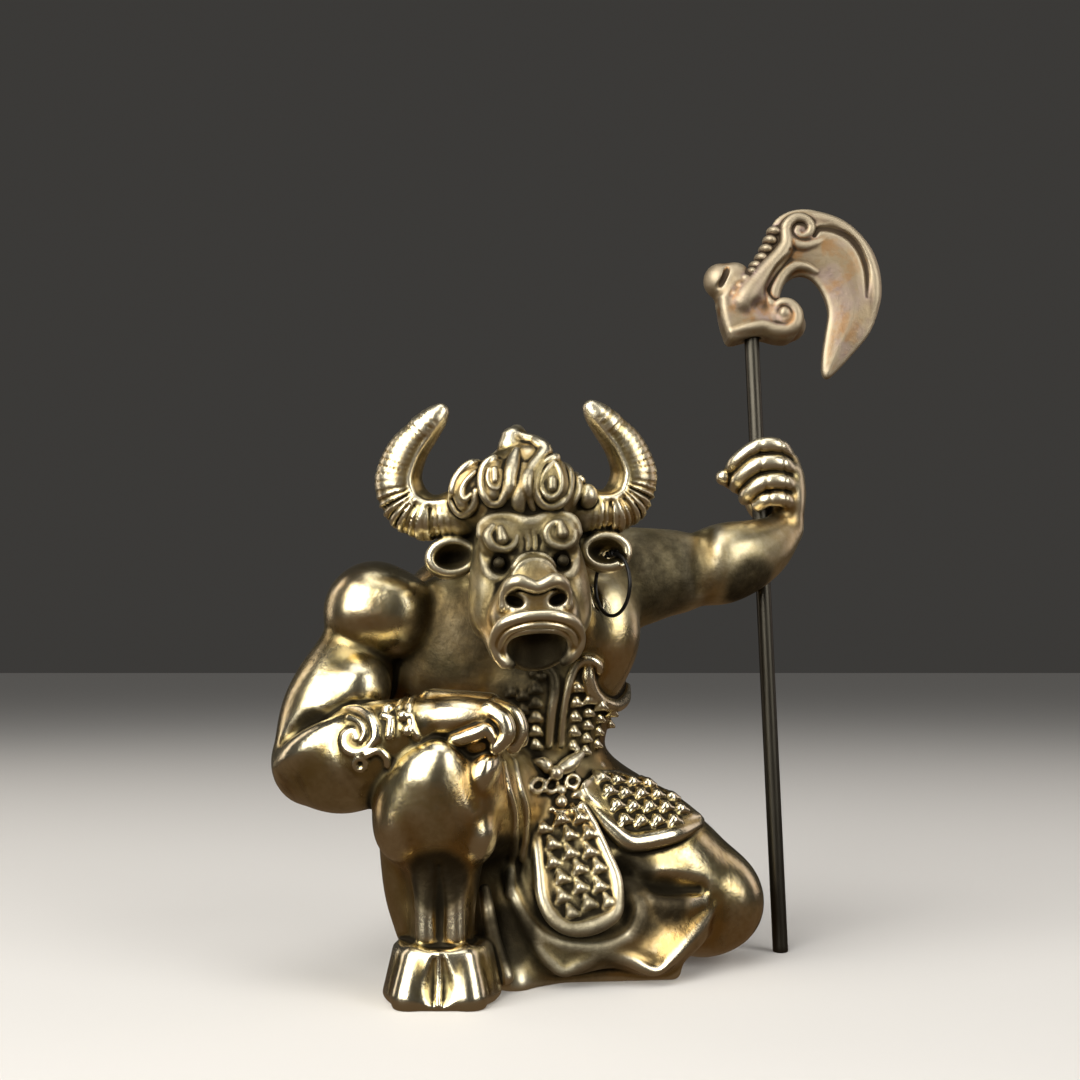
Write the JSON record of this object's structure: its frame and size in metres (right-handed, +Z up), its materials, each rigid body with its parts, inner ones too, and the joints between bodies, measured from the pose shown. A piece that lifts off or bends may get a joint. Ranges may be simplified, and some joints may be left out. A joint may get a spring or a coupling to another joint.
{
  "type": "ox-headed warrior statue",
  "caption": "Small cast metal figure of an armoured ox-headed warrior on one knee, one fist on the other knee and the far hand holding a tall pole with a curved blade.",
  "frame": {"origin": "middle of the bounding box, at floor level", "axes": "+Z up, the face looks toward -Y, the pole stands on the +X side"},
  "size_m": [0.0788, 0.0544, 0.1],
  "materials": {
    "aged_brass": "polished on the high spots, dark brown patina in the hollows",
    "dark_rod": "dark grey metal with a dull sheen",
    "pale_brass": "pale tan with a faint rosy tarnish",
    "black_wire": "black, satin"
  },
  "bodies": {
    "root": {"ox_figure": "aged_brass", "staff_rod": "dark_rod", "staff_blade": "pale_brass", "ear_ring": "black_wire"}
  },
  "joints": []
}
